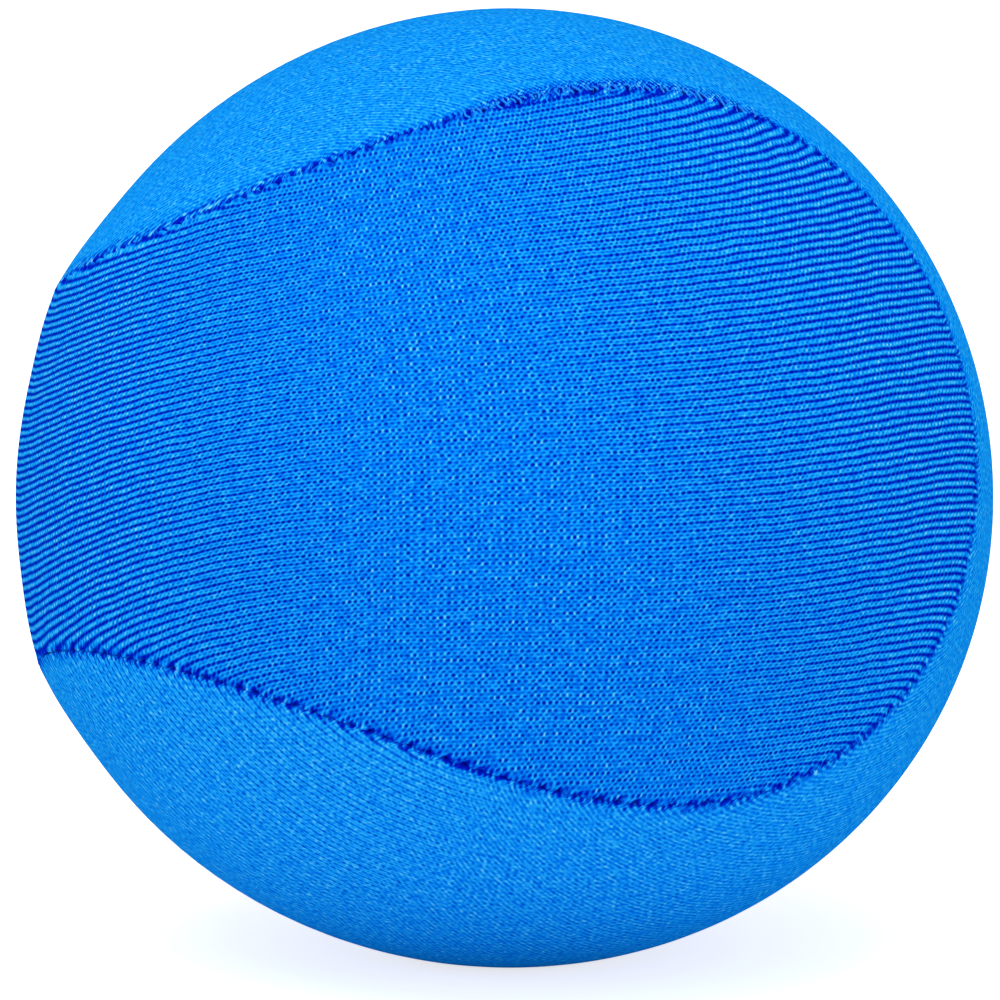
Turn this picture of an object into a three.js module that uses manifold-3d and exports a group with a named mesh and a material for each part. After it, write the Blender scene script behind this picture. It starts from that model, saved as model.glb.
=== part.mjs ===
// Soft play ball: a solid gel core in a stretch-knit cover. Two dog-bone panels are sewn edge to edge along
// one endless seam, as on a tennis ball. The seam allowances are turned inward and press a furrow into the
// gel. Millimetres, +Z up. The ball stands on z = 0 with its middle over the origin, its front toward -Y.
import * as THREE from 'three';
import { mergeVertices } from 'three/addons/utils/BufferGeometryUtils.js';
import Module from 'manifold-3d';

const wasm = await Module();
wasm.setup();

// The ball, measured over the cover
const HALF_WIDTH = 31.5;
const HALF_DEPTH = 31.3;
const HALF_HEIGHT = 30.9;
const MEAN_RADIUS = (HALF_WIDTH + HALF_DEPTH + HALF_HEIGHT) / 3;
// How far the soft ball sags by its weight: it swells below its middle and draws in above it
const SAG = 0.16;
// How far it is lopsided: it swells at the left and at the top and bottom of its right half
const LOPSIDE = 0.09;
// How far the soft ball settles onto what it stands on
const REST_FLAT_DEPTH = 0.5;

// How the cover sits when the ball is set down, in degrees: first a turn about Z, then a tilt about X
const COVER_YAW = 14.7;
const COVER_TILT = -18.2;

// The seam line on the unit ball. The triple term bends the ring back on itself, and the rise lifts it.
const SEAM_TRIPLE = 0.46;
const SEAM_RISE = 1.07;
// Slow drift of the sewn line into the front panel, mm: the knit stretches unevenly as it is sewn
const SEAM_DRIFT = [
  { waves: 0, cosine: 1.48, sine: 0 },
  { waves: 1, cosine: -0.18, sine: -0.14 },
  { waves: 3, cosine: 1.02, sine: 0.72 },
  { waves: 4, cosine: -1.1, sine: 0 },
  { waves: 5, cosine: 0.2, sine: 0.2 },
  { waves: 6, cosine: 0.25, sine: 0.37 },
];

// The knit cover
const COVER_THICKNESS = 0.7;
const ALLOWANCE_DEPTH = 3.0;
const SEAM_GAP = 0.3;
const RIDGE_HEIGHT = 0.45;
const RIDGE_REACH = 4.5;
// Where the middle of a panel's lobe lies along the panel, as a share of the way to the lobe's tip
const LOBE_MIDDLE = 0.66;
// The rolled edge of a panel, from the seam gap up onto the face: distance from the seam and height
const EDGE_ROLL = [
  { side: SEAM_GAP / 2, height: -0.9 },
  { side: 0.3, height: -0.45 },
  { side: 0.75, height: 0.1 },
];
// Inside the cover, the allowance's root and the bend from there to the lining
const ALLOWANCE_ROOT_DEPTH = 1.35;
const LINING_BEND = { side: 1.2, height: -0.7 };

// The gel core
const CORE_GAP = 0.15;
const FURROW_HALF_WIDTH = 1.85;
const FURROW_DEPTH = 4.1;
const FURROW_LIP = { flare: 0.1, depth: 1.35 };
const FURROW_CHAMFER = { side: 0.4, height: 0.35 };

// The sewing
const THREAD_RADIUS = 0.16;
const STITCH_LENGTH = 3.0;
const NEEDLE_LINE_DEPTH = 1.25;
const THREAD_CLEARANCE = 0.2;
const THREAD_SIDE = SEAM_GAP / 2 + COVER_THICKNESS + THREAD_CLEARANCE + THREAD_RADIUS;
// One swing of a looper: shares of a stitch and of the thread's distance to the side, and depths
const LOOPER_SWING = [
  { along: 0, side: 1, depth: 1.75 },
  { along: 0.3, side: 1, depth: 3.1 },
  { along: 0.5, side: 0.35, depth: 3.55 },
  { along: 0.7, side: 1, depth: 3.1 },
];
// The stretch that is sewn last, by hand, as shares of the way round the seam
const CLOSING_START = 0.23;
const CLOSING_END = 0.283;
const CLOSING_STEPS = 40;
const CLOSING_HEIGHT = 0.05;
const CLOSING_SWING = 0.2;
// The knot at its end: distances past the last stitch, depths and radii
const KNOT = [
  { past: 0.45, depth: 0.1, radius: 0.33 },
  { past: 0.75, depth: 0, radius: 0.33 },
  { past: 0.95, depth: 0.05, radius: THREAD_RADIUS },
];

// Facets
const STATIONS = 92;
const FIELD_ROWS = 4;
const THREAD_SIDES = 3;
const CURVE_SAMPLES = 2400;
const MERGE_DISTANCE = 1e-4;

const FULL_TURN = 2 * Math.PI;
const coverTurn = new THREE.Quaternion()
  .setFromAxisAngle(new THREE.Vector3(1, 0, 0), THREE.MathUtils.degToRad(COVER_TILT))
  .multiply(new THREE.Quaternion()
    .setFromAxisAngle(new THREE.Vector3(0, 0, 1), THREE.MathUtils.degToRad(COVER_YAW)));

// The ideal seam, before the drift. The front panel's waist is at -X and its lobes at -Y and +Y. The back
// panel's waist is at +X and its lobes at +Z and -Z.
class IdealSeam extends THREE.Curve {
  getPoint(turn, target = new THREE.Vector3()) {
    const angle = FULL_TURN * turn;
    const x = Math.cos(angle) + SEAM_TRIPLE * Math.cos(3 * angle);
    const y = Math.sin(angle) - SEAM_TRIPLE * Math.sin(3 * angle);
    const rise = SEAM_RISE * Math.sin(2 * angle);
    return target.set(-rise, (x - y) / Math.SQRT2, (x + y) / Math.SQRT2).normalize();
  }
}

const idealSeam = new IdealSeam();
idealSeam.arcLengthDivisions = CURVE_SAMPLES;
const SEAM_LENGTH = idealSeam.getLength() * MEAN_RADIUS;

// One place on the seam: the ideal point, the drifted one and the direction there into the front panel.
// The share runs from 0 to 1 round the seam at an even pace.
function seamPlace(share) {
  const wrapped = ((share % 1) + 1) % 1;
  const ideal = idealSeam.getPointAt(wrapped);
  const step = 1 / CURVE_SAMPLES;
  const ahead = idealSeam.getPointAt((wrapped + step) % 1);
  const behind = idealSeam.getPointAt((wrapped + 1 - step) % 1);
  const along = ahead.sub(behind).normalize();
  const intoFront = new THREE.Vector3().crossVectors(along, ideal).normalize();
  const angle = FULL_TURN * idealSeam.getUtoTmapping(wrapped);
  let drift = 0;
  for (const { waves, cosine, sine } of SEAM_DRIFT) {
    drift += cosine * Math.cos(waves * angle) + sine * Math.sin(waves * angle);
  }
  const bend = drift / MEAN_RADIUS;
  const point = ideal.clone().multiplyScalar(Math.cos(bend)).addScaledVector(intoFront, Math.sin(bend));
  intoFront.addScaledVector(point, -intoFront.dot(point)).normalize();
  return { ideal, point, intoFront };
}

// Turns a direction on the cover and a height over the ball's surface into a place on the standing ball
function ballPoint(direction, height) {
  const { x, y, z } = direction.clone().applyQuaternion(coverTurn);
  const swell = SAG * z * (4 * z * z - 3) + LOPSIDE * x * (3 * z * z - x * x);
  const place = new THREE.Vector3(x * HALF_WIDTH, y * HALF_DEPTH, z * HALF_HEIGHT);
  place.multiplyScalar(1 + (height + swell) / MEAN_RADIUS);
  place.x += LOPSIDE;
  place.z += HALF_HEIGHT - SAG - REST_FLAT_DEPTH;
  return place;
}

// A direction a little to one side of the seam, in mm, positive into the front panel
function besideSeam(place, side) {
  const bend = side / MEAN_RADIUS;
  return place.point.clone().multiplyScalar(Math.cos(bend)).addScaledVector(place.intoFront, Math.sin(bend));
}

// Each panel folds along a spine that runs from lobe to lobe through its waist.
const FRONT = {
  into: 1,
  wayRound: (ideal) => Math.atan2(-ideal.y, -ideal.x),
  spine: (angle) => new THREE.Vector3(-Math.cos(angle), -Math.sin(angle), 0),
};
const BACK = {
  into: -1,
  wayRound: (ideal) => Math.atan2(ideal.z, ideal.x),
  spine: (angle) => new THREE.Vector3(Math.cos(angle), 0, Math.sin(angle)),
};
const LOBE_TIP_ANGLE = Math.PI - Math.atan2(1 - SEAM_TRIPLE, SEAM_RISE);

// The way from a seam place to the panel's spine. It leaves the seam squarely and bends to its spine point.
function panelColumn(panel, place) {
  const wayRound = panel.wayRound(place.ideal);
  const spineAngle = LOBE_MIDDLE * LOBE_TIP_ANGLE * Math.sin((Math.PI / 2) * (wayRound / LOBE_TIP_ANGLE));
  const end = panel.spine(spineAngle);
  const length = place.point.angleTo(end);
  const control = place.point.clone().addScaledVector(place.intoFront, panel.into * length / 2);
  const at = (share) => new THREE.Vector3()
    .addScaledVector(place.point, (1 - share) ** 2)
    .addScaledVector(control, 2 * share * (1 - share))
    .addScaledVector(end, share ** 2)
    .normalize();
  return { lengthMm: length * MEAN_RADIUS, at };
}

// Height of the cover's face at a distance from the seam: the allowances under it raise a low ridge, which
// has died out at the spine.
function ridge(distance, shareOfWay) {
  return RIDGE_HEIGHT * Math.exp(-((distance / RIDGE_REACH) ** 2)) * (1 - shareOfWay ** 2);
}

// How far from the seam the field begins, and the shares of the way from there to the spine
const NEAR_ROW = 2.2;
const FIELD_SHARES = Array.from({ length: FIELD_ROWS + 1 }, (_, row) => row / FIELD_ROWS);

// Points from the near row to the spine at a height under the ridge-shaped face
function fieldRow(panel, place, depth) {
  const column = panelColumn(panel, place);
  return FIELD_SHARES.map((share) => {
    const distance = NEAR_ROW + share * (column.lengthMm - NEAR_ROW);
    return ballPoint(column.at(distance / column.lengthMm), ridge(distance, share) - depth);
  });
}

// The section of a panel at one station, from the spine over the face, round the allowance and back inside
function panelSection(panel, place) {
  const seamPoint = (side, height) => ballPoint(besideSeam(place, panel.into * side), height);
  const face = fieldRow(panel, place, 0).reverse();
  const roll = [...EDGE_ROLL].reverse().map(({ side, height }) => seamPoint(side, height));
  const allowance = [
    seamPoint(SEAM_GAP / 2, -ALLOWANCE_DEPTH),
    seamPoint(SEAM_GAP / 2 + COVER_THICKNESS, -ALLOWANCE_DEPTH),
    seamPoint(SEAM_GAP / 2 + COVER_THICKNESS, -ALLOWANCE_ROOT_DEPTH),
    seamPoint(LINING_BEND.side, LINING_BEND.height),
  ];
  const lining = fieldRow(panel, place, COVER_THICKNESS);
  return [...face, ...roll, ...allowance, ...lining];
}

// The section of the core at one station, from the front panel's spine over the furrow to the back panel's
function coreSection(place) {
  const depth = COVER_THICKNESS + CORE_GAP;
  const side = (panel) => [
    ...fieldRow(panel, place, depth).reverse(),
    ballPoint(besideSeam(place, panel.into * (FURROW_HALF_WIDTH + FURROW_LIP.flare)), -FURROW_LIP.depth),
    ballPoint(besideSeam(place, panel.into * FURROW_HALF_WIDTH), FURROW_CHAMFER.height - FURROW_DEPTH),
    ballPoint(besideSeam(place, panel.into * (FURROW_HALF_WIDTH - FURROW_CHAMFER.side)), -FURROW_DEPTH),
  ];
  return [...side(FRONT), ...side(BACK).reverse()];
}

// Joins the sections of all stations into one closed skin, and turns it so that its faces point out
function skinSections(sections, closedRing = false) {
  const rows = sections[0].length;
  const positions = [];
  const push = (...points) => points.forEach((point) => positions.push(point.x, point.y, point.z));
  const rowPairs = closedRing ? rows : rows - 1;
  sections.forEach((section, station) => {
    const next = sections[(station + 1) % sections.length];
    for (let row = 0; row < rowPairs; row += 1) {
      const other = (row + 1) % rows;
      push(section[row], next[row], next[other]);
      push(section[row], next[other], section[other]);
    }
  });
  return closedSkin(positions);
}

// Signed volume of a list of triangles, positive when their faces point out
function signedVolume(positions) {
  const [a, b, c] = [new THREE.Vector3(), new THREE.Vector3(), new THREE.Vector3()];
  let volume = 0;
  for (let start = 0; start < positions.length; start += 9) {
    a.fromArray(positions, start);
    b.fromArray(positions, start + 3);
    c.fromArray(positions, start + 6);
    volume += a.dot(b.cross(c)) / 6;
  }
  return volume;
}

// A geometry with shared corners from loose triangles, with its faces pointing out
function closedSkin(positions) {
  if (signedVolume(positions) < 0) {
    for (let start = 0; start < positions.length; start += 9) {
      for (let axis = 0; axis < 3; axis += 1) {
        const second = positions[start + 3 + axis];
        positions[start + 3 + axis] = positions[start + 6 + axis];
        positions[start + 6 + axis] = second;
      }
    }
  }
  const geometry = new THREE.BufferGeometry();
  geometry.setAttribute('position', new THREE.Float32BufferAttribute(positions, 3));
  const merged = mergeVertices(geometry, MERGE_DISTANCE);
  merged.computeVertexNormals();
  return merged;
}

const stationPlaces = Array.from({ length: STATIONS }, (_, station) => seamPlace(station / STATIONS));

function panelGeometry(panel) {
  return skinSections(stationPlaces.map((place) => panelSection(panel, place)));
}

function coreGeometry() {
  return skinSections(stationPlaces.map(coreSection));
}

// The whole ball at a depth under the cover's face, with no furrow
function innerBallGeometry(depth) {
  return skinSections(stationPlaces.map((place) => (
    [...fieldRow(FRONT, place, depth).reverse(), ...fieldRow(BACK, place, depth)])));
}

function toSolid(geometry) {
  return new wasm.Manifold(new wasm.Mesh({
    numProp: 3,
    vertProperties: geometry.attributes.position.array,
    triVerts: new Uint32Array(geometry.index.array),
  }));
}

function toGeometry(solid) {
  const { vertProperties, triVerts } = solid.getMesh();
  const geometry = new THREE.BufferGeometry();
  geometry.setAttribute('position', new THREE.BufferAttribute(new Float32Array(vertProperties), 3));
  geometry.setIndex(new THREE.BufferAttribute(new Uint32Array(triVerts), 1));
  geometry.computeVertexNormals();
  return geometry;
}

// A slab wider than the ball, between two heights over the surface that it stands on
function levelSlab(low, high) {
  const box = new THREE.BoxGeometry(3 * HALF_WIDTH, 3 * HALF_DEPTH, high - low);
  box.deleteAttribute('normal');
  box.deleteAttribute('uv');
  return toSolid(mergeVertices(box.translate(0, 0, (low + high) / 2)));
}

// The back panel carries the ball: its face is flat there, and its lining is flat one thickness higher. What
// the cut takes off inside the face is filled again up to the lining, from within the cloth.
function restingPanelGeometry() {
  const cut = toSolid(panelGeometry(BACK)).intersect(levelSlab(0, 3 * HALF_HEIGHT));
  const fill = toSolid(innerBallGeometry(COVER_THICKNESS / 2))
    .intersect(levelSlab(COVER_THICKNESS / 8, COVER_THICKNESS));
  return toGeometry(cut.add(fill));
}

// The core is flat over the panel's flat.
function restingCoreGeometry() {
  const floor = COVER_THICKNESS + CORE_GAP;
  return toGeometry(toSolid(coreGeometry()).intersect(levelSlab(floor, 3 * HALF_HEIGHT)));
}

// A thread through a list of { share, side, depth, radius } on the seam. A closed thread joins its ends, and
// an open one is capped.
function threadGeometry(route, closed) {
  const centres = route.map(({ share, side, depth }) => (
    ballPoint(besideSeam(seamPlace(share), side), -depth)));
  const rings = centres.map((centre, index) => {
    const count = centres.length;
    const after = centres[closed ? (index + 1) % count : Math.min(index + 1, count - 1)];
    const before = centres[closed ? (index + count - 1) % count : Math.max(index - 1, 0)];
    const tangent = new THREE.Vector3().subVectors(after, before).normalize();
    const up = seamPlace(route[index].share).intoFront.clone().applyQuaternion(coverTurn);
    const sideways = new THREE.Vector3().crossVectors(tangent, up).normalize();
    up.crossVectors(sideways, tangent).normalize();
    return Array.from({ length: THREAD_SIDES }, (_, corner) => {
      const angle = FULL_TURN * corner / THREAD_SIDES;
      return centre.clone()
        .addScaledVector(up, route[index].radius * Math.cos(angle))
        .addScaledVector(sideways, route[index].radius * Math.sin(angle));
    });
  });
  if (closed) return skinSections(rings, true);
  return cappedTube(rings);
}

// A tube of rings with a fan of faces over each end
function cappedTube(rings) {
  const positions = [];
  const push = (...points) => points.forEach((point) => positions.push(point.x, point.y, point.z));
  for (let station = 0; station < rings.length - 1; station += 1) {
    for (let corner = 0; corner < THREAD_SIDES; corner += 1) {
      const other = (corner + 1) % THREAD_SIDES;
      push(rings[station][corner], rings[station + 1][corner], rings[station + 1][other]);
      push(rings[station][corner], rings[station + 1][other], rings[station][other]);
    }
  }
  const first = rings[0];
  const last = rings[rings.length - 1];
  for (let corner = 1; corner < THREAD_SIDES - 1; corner += 1) {
    push(first[0], first[corner], first[corner + 1]);
    push(last[0], last[corner + 1], last[corner]);
  }
  return closedSkin(positions);
}

const STITCHES = Math.round(SEAM_LENGTH / STITCH_LENGTH);

// The needle thread: one stitch after another along the front allowance
function needleRoute() {
  return Array.from({ length: STITCHES }, (_, stitch) => ({
    share: stitch / STITCHES,
    side: THREAD_SIDE,
    depth: NEEDLE_LINE_DEPTH,
    radius: THREAD_RADIUS,
  }));
}

// A looper thread: it swings between the needle line and the raw edges once in each stitch, and reaches
// round the raw edge toward the other looper. It leads the needle thread by a share of a stitch.
function looperRoute(side, lead) {
  const route = [];
  for (let stitch = 0; stitch < STITCHES; stitch += 1) {
    for (const point of LOOPER_SWING) {
      route.push({
        share: (stitch + point.along + lead) / STITCHES,
        side: side * point.side * THREAD_SIDE,
        depth: point.depth,
        radius: THREAD_RADIUS,
      });
    }
  }
  return route;
}

// The closing thread swings from side to side in the seam's valley, and ends in a knot.
function closingRoute() {
  const stitches = Array.from({ length: CLOSING_STEPS + 1 }, (_, index) => ({
    share: THREE.MathUtils.lerp(CLOSING_START, CLOSING_END, index / CLOSING_STEPS),
    side: index % 2 ? CLOSING_SWING : -CLOSING_SWING,
    depth: -CLOSING_HEIGHT,
    radius: THREAD_RADIUS,
  }));
  const knot = KNOT.map(({ past, depth, radius }) => ({
    share: CLOSING_END + past / SEAM_LENGTH,
    side: 0,
    depth,
    radius,
  }));
  return [...stitches, ...knot];
}

const finish = (color, roughness) => new THREE.MeshStandardMaterial({ color, roughness, metalness: 0 });

function addPiece(group, name, geometry, material) {
  const mesh = new THREE.Mesh(geometry, material);
  mesh.name = name;
  group.add(mesh);
}

const group = new THREE.Group();
addPiece(group, 'gel_core', restingCoreGeometry(), finish(0xd7e6ea, 0.35));
addPiece(group, 'front_panel', panelGeometry(FRONT), finish(0x1078e8, 0.8));
addPiece(group, 'back_panel', restingPanelGeometry(), finish(0x189bf2, 0.8));
addPiece(group, 'needle_thread', threadGeometry(needleRoute(), true), finish(0x1a6fd0, 0.7));
addPiece(group, 'upper_looper_thread', threadGeometry(looperRoute(1, 0), true), finish(0x2a86e4, 0.7));
addPiece(group, 'lower_looper_thread', threadGeometry(looperRoute(-1, 0.5), true), finish(0x2a86e4, 0.7));
addPiece(group, 'closing_thread', threadGeometry(closingRoute(), false), finish(0x1f86f0, 0.7));

export default group;
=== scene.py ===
"""Soft play ball: gel core, stretch-knit cover of two dog-bone panels, sewn seam, light and camera."""
import logging
import math
from dataclasses import dataclass
from enum import Enum

import bpy
import numpy as np
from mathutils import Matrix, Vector


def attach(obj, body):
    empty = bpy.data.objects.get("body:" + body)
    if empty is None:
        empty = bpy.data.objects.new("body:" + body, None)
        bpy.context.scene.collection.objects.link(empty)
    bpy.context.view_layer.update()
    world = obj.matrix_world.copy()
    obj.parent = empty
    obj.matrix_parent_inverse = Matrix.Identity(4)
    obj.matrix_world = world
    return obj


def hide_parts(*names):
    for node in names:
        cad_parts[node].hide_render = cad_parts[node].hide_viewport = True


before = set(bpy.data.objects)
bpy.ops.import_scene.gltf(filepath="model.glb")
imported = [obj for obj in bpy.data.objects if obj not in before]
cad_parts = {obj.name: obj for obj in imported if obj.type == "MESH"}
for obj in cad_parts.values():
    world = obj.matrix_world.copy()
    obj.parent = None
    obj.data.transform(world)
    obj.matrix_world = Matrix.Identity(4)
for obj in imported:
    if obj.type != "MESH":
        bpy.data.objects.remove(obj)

LOG = logging.getLogger("play_ball")
MM = 0.001
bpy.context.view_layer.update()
PHOTO_PIXELS = 1000
PHOTO_PIXELS_PER_MM = 15.52
CAMERA_DISTANCE_IN_RADII = 25
CAMERA_ELEVATION_DEGREES = 10.0
PHOTO_SHIFT_PIXELS = (-4.5, -10)
SENSOR_WIDTH_MM = 36.0
THREAD_CENTRE_MM = (0.0, 0.0, 30.4)
THREAD_TIP = 0.35
FLOOR_GREY = (0.85, 0.85, 0.85, 1.0)
FLOOR_GLOW = 0.72
WHITE = (1.0, 1.0, 1.0, 1.0)
SURROUNDINGS = 0.42
LAMPS = (("overhead", (-0.1, -0.25, 0.9), 0.9, 6.2), ("left", (-0.9, -0.5, 0.1), 0.7, 3.2),
         ("right", (0.9, -0.5, 0.0), 0.7, 4.6), ("front", (0.0, -1.3, 0.02), 0.8, 3.6))
Array = np.ndarray
Piece = bpy.types.Object
Stops = tuple[tuple[float, tuple[float, float, float]], ...]


def unit(vectors: Array) -> Array:
    """Vectors of length 1 in the same directions.

    Args:
        vectors: Any array whose last axis holds x, y and z.

    Returns:
        An array of the same shape.
    """
    return vectors / np.linalg.norm(vectors, axis=-1, keepdims=True)


def smooth_step(low: float, high: float, values: Array) -> Array:
    """A smooth climb from 0 at low to 1 at high.

    Args:
        low: Where the climb starts.
        high: Where it ends.
        values: Where it is wanted.

    Returns:
        The climb's height at each value.
    """
    share = np.clip((values - low) / (high - low), 0.0, 1.0)
    return share * share * (3 - 2 * share)


@dataclass(frozen=True)
class BallForm:
    """The resting ball: an oval that sags a little, its cover turned on it, on the flat it settles onto. In mm."""

    half_width: float = 31.5
    half_depth: float = 31.3
    half_height: float = 30.9
    sag: float = 0.16
    lopside: float = 0.09
    flat_depth: float = 0.5
    flat_softness: float = 0.12
    yaw: float = 14.7
    tilt: float = -18.2

    @property
    def radius(self) -> float:
        """The mean radius."""
        return (self.half_width + self.half_depth + self.half_height) / 3

    @property
    def middle(self) -> float:
        """The height of the ball's middle over the surface that it stands on."""
        return self.half_height - self.sag - self.flat_depth

    def turn(self) -> Array:
        """The matrix that turns a direction on the cover into one on the standing ball."""
        yaw, tilt = math.radians(self.yaw), math.radians(self.tilt)
        about_z = np.array([[math.cos(yaw), -math.sin(yaw), 0], [math.sin(yaw), math.cos(yaw), 0], [0, 0, 1]])
        about_x = np.array([[1, 0, 0], [0, math.cos(tilt), -math.sin(tilt)], [0, math.sin(tilt), math.cos(tilt)]])
        return about_x @ about_z

    def place(self, directions: Array, heights: Array, floor: float = 0.0) -> Array:
        """Puts directions on the cover, at heights over the ball's surface, onto the standing ball.

        Args:
            directions: Unit directions on the cover.
            heights: Heights over the oval surface in mm.
            floor: The lowest height that a point may have, where the ball rests.

        Returns:
            Places in mm.
        """
        turned = directions @ self.turn().T
        x, z = turned[..., 0], turned[..., 2]
        swell = self.sag * z * (4 * z * z - 3) + self.lopside * x * (3 * z * z - x * x)
        places = turned * np.array([self.half_width, self.half_depth, self.half_height])
        places *= (1 + (heights + swell) / self.radius)[..., None]
        places += np.array([self.lopside, 0, self.middle])
        low = places[..., 2] - floor
        places[..., 2] = floor + (low + np.sqrt(low * low + self.flat_softness**2)) / 2
        return places


@dataclass(frozen=True)
class SeamPlaces:
    """Places round the seam: the share of the way round, and directions to the ideal and the sewn line and across."""

    share: Array
    ideal: Array
    point: Array
    into_front: Array

    def beside(self, side: Array, radius: float) -> Array:
        """Directions a little to one side of the seam.

        Args:
            side: Distances in mm, positive into the front panel.
            radius: The ball's mean radius in mm.

        Returns:
            Unit directions.
        """
        bend = (side / radius)[..., None]
        return self.point * np.cos(bend) + self.into_front * np.sin(bend)


@dataclass(frozen=True)
class SeamLine:
    """The endless seam of a two-panel ball, with the few millimetres by which it was sewn off its ideal line."""

    form: BallForm
    triple: float = 0.46
    rise: float = 1.07
    drift: tuple[tuple[int, float, float], ...] = (
        (0, 1.48, 0.0), (1, -0.18, -0.14), (3, 1.02, 0.72), (4, -1.1, 0.0), (5, 0.2, 0.2), (6, 0.25, 0.37))
    samples: int = 9600
    probe: float = math.tau / 4800

    def ideal(self, angle: Array) -> Array:
        """Unit directions to the ideal seam at angles of its formula."""
        x = np.cos(angle) + self.triple * np.cos(3 * angle)
        y = np.sin(angle) - self.triple * np.sin(3 * angle)
        rise = self.rise * np.sin(2 * angle)
        return unit(np.stack([-rise, (x - y) / math.sqrt(2), (x + y) / math.sqrt(2)], -1))

    def _walk(self) -> tuple[Array, Array]:
        """Angles of the formula, and how far round a ball of radius 1 the seam has come at each."""
        angles = np.linspace(0, math.tau, self.samples + 1)
        steps = np.linalg.norm(np.diff(self.ideal(angles), axis=0), axis=1)
        return angles, np.concatenate([[0.0], np.cumsum(steps)])

    @property
    def length(self) -> float:
        """The ideal seam's length in mm."""
        return float(self._walk()[1][-1] * self.form.radius)

    def at(self, share: Array) -> SeamPlaces:
        """The seam's places at shares of the way round.

        Args:
            share: Shares from 0 to 1 at an even pace.

        Returns:
            The places with their directions.
        """
        angles, way = self._walk()
        angle = np.interp(np.mod(share, 1.0), way / way[-1], angles)
        ideal = self.ideal(angle)
        along = unit(self.ideal(angle + self.probe) - self.ideal(angle - self.probe))
        into_front = unit(np.cross(along, ideal))
        bend = sum(c * np.cos(n * angle) + s * np.sin(n * angle) for n, c, s in self.drift) / self.form.radius
        point = unit(ideal * np.cos(bend)[:, None] + into_front * np.sin(bend)[:, None])
        into_front = unit(into_front - (into_front * point).sum(-1, keepdims=True) * point)
        return SeamPlaces(np.asarray(share, float), ideal, point, into_front)


class PanelSide(Enum):
    """Which of the cover's two panels. The value is the panel's side of the seam."""

    FRONT = 1
    BACK = -1

    def spine(self, angle: Array) -> Array:
        """Directions to the panel's spine at angles from its waist."""
        zero = np.zeros_like(angle)
        if self is PanelSide.FRONT:
            return np.stack([-np.cos(angle), -np.sin(angle), zero], -1)
        return np.stack([np.cos(angle), zero, np.sin(angle)], -1)

    def across(self, directions: Array) -> Array:
        """How far directions lie to the side of the panel's spine, as a sine."""
        return directions[..., 2] if self is PanelSide.FRONT else directions[..., 1]

    def round(self, directions: Array) -> Array:
        """Angles of any directions along the panel's spine, 0 at its waist."""
        if self is PanelSide.FRONT:
            return np.arctan2(-directions[..., 1], -directions[..., 0])
        return np.arctan2(directions[..., 2], directions[..., 0])

    def mirrored(self, stations: int) -> Array:
        """The station that shares its spine point with each station round the seam."""
        quarters = 3 if self is PanelSide.FRONT else 1
        return (quarters * stations // 4 - np.arange(stations)) % stations


@dataclass(frozen=True)
class CoverForm:
    """How the cover lies over the core: its cloth, the turned-in allowances and the puckers of its seam. In mm."""

    thickness: float = 0.5
    allowance: float = 3.0
    gap: float = 0.015
    ridge_height: float = 0.45
    ridge_reach: float = 4.5
    lobe_middle: float = 0.66
    roll_radius: float = 0.2
    roll_depth: float = 0.09
    turn_in: float = 0.6
    stitches: int = 272
    columns_per_stitch: int = 6
    near_rows: tuple[float, ...] = (
        0.03, 0.07, 0.13, 0.2, 0.28, 0.36, 0.45, 0.56, 0.7, 0.88, 1.1, 1.4, 1.8, 2.3, 3.0, 3.9)
    field_rows: int = 20
    lining_near: tuple[tuple[float, float], ...] = ((1.1, 0.3), (2.2, 0.0))
    lining_rows: int = 7
    seed: int = 11

    def ridge(self, distance: Array) -> Array:
        """How high the cover is lifted by the allowances under it, at distances from the seam."""
        return self.ridge_height * np.exp(-((distance / self.ridge_reach) ** 2))


@dataclass(frozen=True)
class PuckerForm:
    """The small gathers that each stitch draws into a panel's rolled edge. In mm."""

    depth: float
    reach: float
    retreat: float
    lean: float
    # How far from the seam the painted shade in each stitch's hole reaches.
    hole_shade: float
    mean: float = 0.3
    lip: float = 0.1
    lip_reach: float = 0.35
    sway: float = 0.035
    sway_reach: float = 2.0


FRONT_PUCKERS = PuckerForm(depth=0.26, reach=0.35, retreat=0.10, lean=0.4, hole_shade=0.34)
BACK_PUCKERS = PuckerForm(depth=0.20, reach=0.5, retreat=0.05, lean=-0.3, hole_shade=0.22)


@dataclass(frozen=True)
class RibEnd:
    """An end of a panel toward which its ribs part: from a line across it, over an angle along the spine.

    The way is 1 toward larger angles, -1 toward smaller ones. The line is a polynomial of the sine across the spine.
    """

    way: int
    line: tuple[float, ...]
    width: float

    def share(self, across: Array, along: Array) -> Array:
        """How far the ribs have parted at places, from 0 to 1."""
        line = sum(value * across**power for power, value in enumerate(self.line))
        return smooth_step(0, self.width, self.way * (along - line))


@dataclass(frozen=True)
class KnitGrain:
    """Counts of wales across and courses along a panel, as polynomials of the place on it.

    Each term holds the powers of the sine across the spine and of the angle along it from a middle place. The
    wales run straight on where the angle along the spine is more than the turn behind the waist.
    """

    course_rate: float
    middle: float
    pace: float
    turn: float
    wales: tuple[tuple[int, int, float], ...]
    courses: tuple[tuple[int, int, float], ...]
    rib_ends: tuple[RibEnd, ...]

    def counts(self, across: Array, round_spine: Array) -> tuple[Array, Array]:
        """The counts at places on a panel.

        Args:
            across: Sines of the angle to the side of the spine.
            round_spine: Angles along the spine from the waist.

        Returns:
            Course counts and wale counts.
        """
        ahead = round_spine + self.turn
        place = self.pace * ((ahead + np.sqrt(ahead**2 + 0.04)) / 2 - self.turn - self.middle)
        wales = sum(value * across**i * place**j for i, j, value in self.wales)
        courses = self.course_rate * round_spine
        courses += sum(value * across**i * place**j for i, j, value in self.courses)
        return courses, wales


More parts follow.
